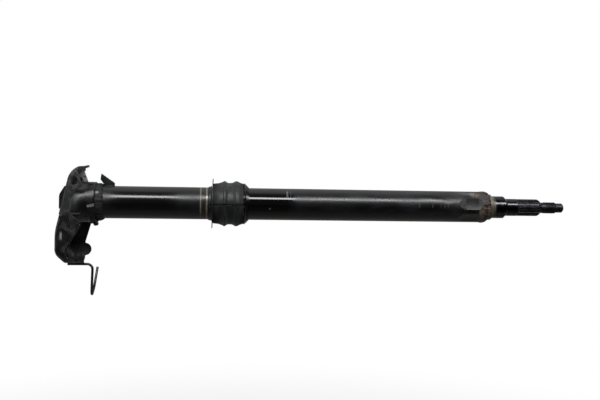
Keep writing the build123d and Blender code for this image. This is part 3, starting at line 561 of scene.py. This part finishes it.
# %% [markdown]
# ## Dressing the CAD nodes
# A node keeps its mesh and place and only gets a material. One table from node to finish is easier to
# check than a call for each, and what it doesn't name is a pressing.

# %% Dress the CAD nodes
finishes = {
    "main_tube": enamel,
    "lower_stub": oiled,
    "stub_weld": rust_bead,
    "bracket_socket": cup_paint,
    "socket_saddle": saddle_paint,
    "saddle_peg": saddle_paint,
    "upper_bracket": head_paint,
    "socket_weld": bead_paint,
    "near_bracket_weld": bead_paint,
    "far_bracket_weld": bead_paint,
    "cable_guide_welds": bead_paint,
    "harness_tab_welds": bead_paint,
    "brace_rod": rod_paint,
    "cable_guide": rod_paint,
    "harness_tab": shaded_tab_paint,
    "upper_bush_half": bush_rubber,
    "lower_bush_half": bush_rubber,
    "upper_seal": seal_rubber,
    "lower_seal": seal_rubber,
    "seal_washer": cloudy,
    "seal_clip_ring": spring_wire,
}
for name, node in nodes.items():
    node.data.materials.clear()
    node.data.materials.append(finishes.get(name, pressing).material)
print("dressed", len(nodes), "nodes")

# %% [markdown]
# ## The stub with real teeth and a real thread
# On the real stub the hob leaves 18 straight-flanked teeth that run out on the journal, and the end
# carries an M14 thread with 1.5 mm pitch. CAD keeps the thread as a plain cylinder, because a true helix
# is heavy there. Here the whole stub is one lathe-like grid: at each station along the shaft and each
# angle round it a formula gives the radius, so teeth, run-outs, nose and thread need no cutting. The
# angles are spaced so that eight of them fall on each tooth's corners.

# %% Shape of the stub
tube_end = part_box("main_tube")[1][0] / MM
tip_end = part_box("lower_stub")[1][0] / MM
spline_start, spline_end, neck_start = tube_end + 41.5, tube_end + 68.8, tube_end + 73.8
thread_start, thread_end = tube_end + 78.3, tube_end + 93.8
plug_r, collar_r, bearing_r, journal_r, neck_r, pilot_r = 13.6, 15.8, 13.65, 10.65, 6.6, 5.8
teeth, tooth_tip, tooth_root, flank_slope, flank_stand = 18, 10.5, 9.4, 0.2456, 3.301
thread_r, pitch, thread_depth = 7.0, 1.5, 0.92
turned_line = [
    (tube_end - 8.0, plug_r), (tube_end + 0.1, plug_r), (tube_end + 0.1, collar_r), (tube_end + 7.5, collar_r),
    (tube_end + 8.1, 15.2), (tube_end + 8.1, bearing_r), (tube_end + 24.4, bearing_r), (tube_end + 25.8, 12.25),
    (tube_end + 26.4, 11.4), (tube_end + 27.8, journal_r), (spline_start, journal_r),
    (spline_start + 0.4, tooth_tip), (spline_end, tooth_tip), (spline_end + 2.25, tooth_tip - 1.1),
    (neck_start, neck_r), (thread_start - 0.5, neck_r), (thread_start, thread_r), (thread_end - 1.2, thread_r),
    (thread_end, pilot_r), (tip_end - 1.4, pilot_r), (tip_end, 4.4),
]


def line_radius(x):
    """Radius of the turned outline at x, before teeth and thread are cut."""
    for (x0, r0), (x1, r1) in zip(turned_line, turned_line[1:]):
        if x0 <= x <= x1 and x1 > x0:
            return r0 + (r1 - r0) * (x - x0) / (x1 - x0)
    return turned_line[-1][1]


def tooth_radius(angle):
    """Cross-section of the spline: flat-topped teeth with straight flanks over a round root."""
    step = 2 * pi / teeth
    off = abs((angle + step / 2) % step - step / 2)
    flank = flank_stand / (sin(off) + flank_slope * cos(off))
    return max(tooth_root, min(tooth_tip / cos(off), flank))


def thread_radius(x, angle):
    """Metric thread: crests an eighth of the pitch wide, roots a quarter, at this x and angle."""
    turns = (x - thread_start) / pitch - angle / (2 * pi)
    off = abs(turns - floor(turns + 0.5))
    depth = min(max((off - 1 / 16) / (3 / 8 - 1 / 16), 0.0), 1.0)
    fade = min(max((x - thread_start + 0.4) / 1.2, 0.0), 1.0)
    return thread_r - thread_depth * depth * fade


def stub_radius(x, outline, angle):
    """Radius of the finished stub, from the turned outline's radius there and what is cut into it."""
    if spline_start < x < neck_start:
        run_out = 1.25 * max(0.0, 1 - (x - spline_start) / 3.0) ** 2
        return min(outline, max(tooth_radius(angle), tooth_root + run_out))
    if thread_start - 0.4 <= x <= thread_end:
        return min(outline, thread_radius(x, angle))
    return outline


corner_angles = (-8, -6.2, -3.94, 0, 3.94, 6.2, 8, 10)
tooth_angles = [radians(20 * tooth + part) for tooth in range(teeth) for part in corner_angles]
print("stub grid has", len(tooth_angles), "angles; tooth root", round(tooth_radius(radians(10)), 2), "mm")

# %% [markdown]
# A grid of rings becomes a mesh in one way for the stub and the washer: neighbours are joined by
# four-sided faces, and the ends are either capped or, for a ring-shaped piece, joined to each other.
# The faces run so that their normals point outwards. Smooth shading with sharp edges over a set angle
# keeps the corners of the teeth crisp.

# %% Mesh from rings
def ringed_piece(name, rings, finish, hollow=False, crisp=30):
    """Closed mesh from rings of points in millimetres, each ring running round the shaft."""
    count = len(rings[0])
    faces = []
    for i in range(len(rings) if hollow else len(rings) - 1):
        a, b = i * count, (i + 1) % len(rings) * count
        faces += [(a + j, a + (j + 1) % count, b + (j + 1) % count, b + j) for j in range(count)]
    if not hollow:
        last = (len(rings) - 1) * count
        faces += [tuple(reversed(range(count))), tuple(range(last, last + count))]
    mesh = bpy.data.meshes.new(name)
    mesh.from_pydata([tuple(c * MM for c in point) for ring in rings for point in ring], [], faces)
    mesh.shade_smooth()
    mesh.set_sharp_from_angle(angle=radians(crisp))
    mesh.materials.append(finish.material)
    print(name, "with", len(mesh.polygons), "faces")
    return put(name, mesh)


# %% Stub mesh
stations = list(turned_line)
stations += [(spline_start + d, line_radius(spline_start + d)) for d in (0.8, 1.2, 1.6, 2.0, 2.5, 3.0)]
stations += [(spline_end + d, line_radius(spline_end + d)) for d in (0.55, 1.1, 1.7)]
thread_steps = int((thread_end - thread_start) / (pitch / 12))
stations += [(x, line_radius(x)) for x in (thread_start + 0.05 + (pitch / 12) * k for k in range(thread_steps))]
stations.sort(key=lambda station: station[0])
centre_hole = [(tip_end, 1.7), (tip_end - 1.9, 0.6)]
rings = [
    [(x, r * cos(a), r * sin(a)) for a in tooth_angles for r in [stub_radius(x, outline, a)]]
    for x, outline in stations + centre_hole
]
stub = ringed_piece("toothed_stub", rings, oiled, crisp=12)
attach(stub, "shaft")
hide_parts("lower_stub")

# %% [markdown]
# ## Weld beads
# A weld bead is laid as a row of overlapping puddles, each frozen before the next. So a bead here is
# just that: a Geometry Nodes tree walks along a path in steps, sets a flattened ball on each point,
# stands it away from the shaft's axis, and varies place and size a little with a fixed seed. A voxel
# remesh then melts the balls into one skin, as the arc did. Sculpting the ripples by hand would look
# much the same, but a tree serves every weld on the shaft with other numbers.

# %% Weld bead tree
def group_tree(name, numbers):
    """An empty Geometry Nodes tree with a geometry input, named number inputs and a material."""
    tree = bpy.data.node_groups.new(name, "GeometryNodeTree")
    tree.interface.new_socket("Geometry", in_out="INPUT", socket_type="NodeSocketGeometry")
    for label in numbers:
        tree.interface.new_socket(label, in_out="INPUT", socket_type="NodeSocketFloat")
    tree.interface.new_socket("Seed", in_out="INPUT", socket_type="NodeSocketInt")
    tree.interface.new_socket("Material", in_out="INPUT", socket_type="NodeSocketMaterial")
    tree.interface.new_socket("Geometry", in_out="OUTPUT", socket_type="NodeSocketGeometry")
    return tree, partial(add, tree)


def close_tree(geo, shape, given):
    """End a tree: real geometry in place of instances, then the material."""
    real = geo("GeometryNodeRealizeInstances", {"Geometry": shape})
    dressed = geo("GeometryNodeSetMaterial", {"Geometry": real, "Material": given["Material"]})
    geo("NodeGroupOutput", {"Geometry": dressed})


bead_tree, geo = group_tree("weld_bead", ["Step", "Across", "Rise", "Along", "Scatter"])
given = geo("NodeGroupInput").outputs
path = geo("GeometryNodeMeshToCurve", {"Mesh": given["Geometry"]})
points = geo("GeometryNodeResampleCurve", {"Curve": path, "Length": given["Step"]}, mode="LENGTH")
least = geo("ShaderNodeMath", {0: given["Scatter"], 1: -1.0}, operation="MULTIPLY")
low, high = (geo("ShaderNodeCombineXYZ", {0: way, 1: way, 2: way}) for way in (least, given["Scatter"]))
shift = geo("FunctionNodeRandomValue", {0: low, 1: high, "Seed": given["Seed"]}, data_type="FLOAT_VECTOR")
moved = geo("GeometryNodeSetPosition", {"Geometry": points, "Offset": shift})
outward = geo("ShaderNodeVectorMath", {0: geo("GeometryNodeInputPosition"), 1: (0, 1, 1)}, operation="MULTIPLY")
stand = geo("FunctionNodeAlignRotationToVector", {"Vector": outward}, axis="Z")
faced = geo("FunctionNodeAlignRotationToVector", {"Rotation": stand, "Vector": geo("GeometryNodeInputTangent")},
            axis="X", pivot_axis="Z")
puddle = geo("ShaderNodeCombineXYZ", {0: given["Along"], 1: given["Across"], 2: given["Rise"]})
vary = geo("FunctionNodeRandomValue", {2: 0.86, 3: 1.12, "Seed": given["Seed"]}, data_type="FLOAT")
ball = geo("GeometryNodeMeshIcoSphere", {"Radius": 1.0, "Subdivisions": 3})
row = geo("GeometryNodeInstanceOnPoints", {
    "Points": moved, "Instance": ball, "Rotation": faced,
    "Scale": geo("ShaderNodeVectorMath", {0: puddle, "Scale": vary}, operation="SCALE")})
close_tree(geo, row, given)
print("weld bead tree with", len(bead_tree.nodes), "nodes")


# %% [markdown]
# A tree makes its piece only when the modifier is evaluated. The inputs are set first, by each socket's
# identifier, and the evaluated result is then copied to a plain mesh.
# The maker object goes away again, and with it the modifier.

# %% From a tree to a plain mesh
def grown(name, tree, points_mm, closed, finish, melt_mm=0.0, soften=2, **sizes):
    """Run a tree on a path of points, melt the result if asked, and return it as a plain piece."""
    start = bpy.data.meshes.new(name + "_path")
    edges = [(i, i + 1) for i in range(len(points_mm) - 1)] + ([(len(points_mm) - 1, 0)] if closed else [])
    start.from_pydata([tuple(c * MM for c in point) for point in points_mm], edges, [])
    maker = put(name + "_maker", start)
    modifier = maker.modifiers.new("tree", "NODES")
    modifier.node_group = tree
    wanted = {"Material": finish.material, **{label.replace("_", " "): value for label, value in sizes.items()}}
    for item in tree.interface.items_tree:
        if item.in_out == "INPUT" and item.name in wanted:
            modifier[item.identifier] = wanted[item.name]
    if melt_mm:
        melt = maker.modifiers.new("melt", "REMESH")
        melt.mode = "VOXEL"
        melt.voxel_size = melt_mm * MM
        ease = maker.modifiers.new("ease", "SMOOTH")
        ease.factor, ease.iterations = 0.5, soften
    evaluated = maker.evaluated_get(bpy.context.evaluated_depsgraph_get())
    mesh = bpy.data.meshes.new_from_object(evaluated)
    bpy.data.objects.remove(maker)
    mesh.name = name
    mesh.materials.clear()
    mesh.materials.append(finish.material)
    mesh.shade_smooth()
    print(name, "with", len(mesh.polygons), "faces")
    return put(name, mesh)


def circle_path(x, r, count=72):
    """Points of a ring round the shaft."""
    return [(x, r * cos(2 * pi * k / count), r * sin(2 * pi * k / count)) for k in range(count)]


# %% [markdown]
# The ring at the socket is wide and low, the one at the stub narrow and lumpy, and each small part has
# short beads along its feet. Every bead replaces the plain CAD bead in the same place.

# %% Weld pieces
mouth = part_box("socket_weld")[0][0] / MM
rings_of_weld = {
    "socket_weld": (circle_path(mouth + 2.2, 19.0), bead_paint, "painted_weld",
                    dict(Step=0.0024, Across=0.0064, Rise=0.0031, Along=0.0036, Scatter=0.0005, Seed=4),
                    0.35, 40),
    "stub_weld": (circle_path(tube_end - 1.8, 16.4), rust_bead, "rusty_weld",
                  dict(Step=0.0026, Across=0.0056, Rise=0.0031, Along=0.0036, Scatter=0.0007, Seed=11),
                  0.3, 5),
}
for node, (path_mm, finish, slot, sizes, melt, soften) in rings_of_weld.items():
    bead = grown("rippled_" + node, bead_tree, path_mm, True, finish, melt, soften, **sizes)
    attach(bead, "shaft")
    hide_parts(node)

for node in ("near_bracket_weld", "far_bracket_weld"):
    low, high = (Vector(corner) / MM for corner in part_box(node))
    side = 1 if low.y > 0 else -1
    line = [(low.x + 1.5, side * 24.4, -13.9), (high.x - 1.5, side * 24.4, -13.9)]
    bead = grown("rippled_" + node, bead_tree, line, False, bead_paint, 0.3,
                 Step=0.0019, Across=0.0018, Rise=0.0018, Along=0.0026, Scatter=0.0002, Seed=7 + side)
    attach(bead, "shaft")
    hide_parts(node)

# %% [markdown]
# ## Small welds at the guide and the tab
# Both feet are held by a short bead on each side. Each bead is a piece of its own from the same tree,
# and the two together replace the node.

# %% Small weld pieces
for node in ("cable_guide_welds", "harness_tab_welds"):
    low, high = (Vector(corner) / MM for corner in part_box(node))
    middle_y, level_z = (low.y + high.y) / 2, low.z if low.z > 0 else high.z
    off_y = (high.y - low.y) / 2 - 1.0
    parts = []
    for side in (-1, 1):
        y = middle_y + side * off_y
        line = [(low.x + 0.9, y, level_z), (high.x - 0.9, y, level_z)]
        label = f"bead_{node}_{'left' if side < 0 else 'right'}"
        parts.append(grown(label, bead_tree, line, False, bead_paint, 0.25,
                           Step=0.0014, Across=0.0011, Rise=0.0011, Along=0.0012, Scatter=0.0002, Seed=20 + side))
    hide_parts(node)
    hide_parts(node)
    for part in parts:
        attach(part, "shaft")

# %% [markdown]
# ## The garter spring
# A seal's lip is pressed onto the tube by a garter spring: a fine closed coil joined into a ring. It is a
# helix wound round a circle, so one formula over the point number gives its line, and Curve to Mesh
# gives it the wire's thickness.

# %% Garter spring tree and piece
spring_sizes = ["Place", "Ring Radius", "Coil Radius", "Wire Radius", "Coils", "Points"]
coil_tree, geo = group_tree("garter_spring", spring_sizes)
given = geo("NodeGroupInput").outputs
line = geo("GeometryNodeMeshLine", {"Count": given["Points"], "Offset": (MM, 0, 0)})
share = geo("ShaderNodeMath", {0: geo("GeometryNodeInputIndex"), 1: given["Points"]}, operation="DIVIDE")
round_ring = geo("ShaderNodeMath", {0: share, 1: 2 * pi}, operation="MULTIPLY")
round_coil = geo("ShaderNodeMath", {0: round_ring, 1: given["Coils"]}, operation="MULTIPLY")
swing = geo("ShaderNodeMath", {0: geo("ShaderNodeMath", {0: round_coil}, operation="COSINE"),
                               1: given["Coil Radius"]}, operation="MULTIPLY")
radius = geo("ShaderNodeMath", {0: swing, 1: given["Ring Radius"]})
slide = geo("ShaderNodeMath", {0: geo("ShaderNodeMath", {0: round_coil}, operation="SINE"),
                               1: given["Coil Radius"]}, operation="MULTIPLY")
helix = geo("ShaderNodeCombineXYZ", {
    0: geo("ShaderNodeMath", {0: slide, 1: given["Place"]}),
    1: geo("ShaderNodeMath", {0: geo("ShaderNodeMath", {0: round_ring}, operation="COSINE"), 1: radius},
           operation="MULTIPLY"),
    2: geo("ShaderNodeMath", {0: geo("ShaderNodeMath", {0: round_ring}, operation="SINE"), 1: radius},
           operation="MULTIPLY")})
bent = geo("GeometryNodeSetPosition", {"Geometry": line, "Position": helix})
as_curve = geo("GeometryNodeMeshToCurve", {"Mesh": bent})
loop = geo("GeometryNodeSetSplineCyclic", {"Geometry": as_curve, "Cyclic": True})
wire = geo("GeometryNodeCurvePrimitiveCircle", {"Radius": given["Wire Radius"], "Resolution": 5})
tube = geo("GeometryNodeCurveToMesh", {"Curve": loop, "Profile Curve": wire})
close_tree(geo, tube, given)
print("garter spring tree with", len(coil_tree.nodes), "nodes")

clip_low, clip_high = (Vector(corner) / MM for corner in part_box("seal_clip_ring"))
spring = grown("garter_spring", coil_tree, [(0, 0, 0)], False, spring_wire,
               Place=(clip_low.x + clip_high.x) / 2 * MM, Ring_Radius=(clip_high.z - 0.7) * MM,
               Coil_Radius=0.00055, Wire_Radius=0.00015, Coils=150.0, Points=1800.0)
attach(spring, "bush")
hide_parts("seal_clip_ring")

# %% [markdown]
# ## The thin washer
# The real washer is a thin plastic sheet that has taken a set: it leans a little, thins towards its rim
# and waves by about a quarter of a millimetre. A cosine round the ring does that, and the section is a
# plain closed loop of points.

# %% Washer piece
washer_low, washer_high = (Vector(corner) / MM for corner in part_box("seal_washer"))
washer_x, washer_r = (washer_low.x + washer_high.x) / 2 + 0.1, washer_high.z
section = [(20.0, 0.50), (24.0, 0.50), (washer_r - 0.4, 0.50), (washer_r, 0.40)]
section = [(r, -half) for r, half in section] + [(r, half) for r, half in reversed(section)]
lean, wave = tan(radians(0.6)), 0.12


def washer_point(r, offset, a):
    """A point of the washer: its section, leaned over and waved more towards the rim."""
    x = washer_x + offset + lean * r * sin(a) + wave * (r / washer_r) ** 3 * cos(3 * a + 0.6)
    return x, r * cos(a), r * sin(a)


rings = [[washer_point(r, offset, 2 * pi * k / 120) for k in range(120)] for r, offset in section]
washer = ringed_piece("waved_washer", rings, cloudy, hollow=True)
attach(washer, "bush")
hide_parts("seal_washer")
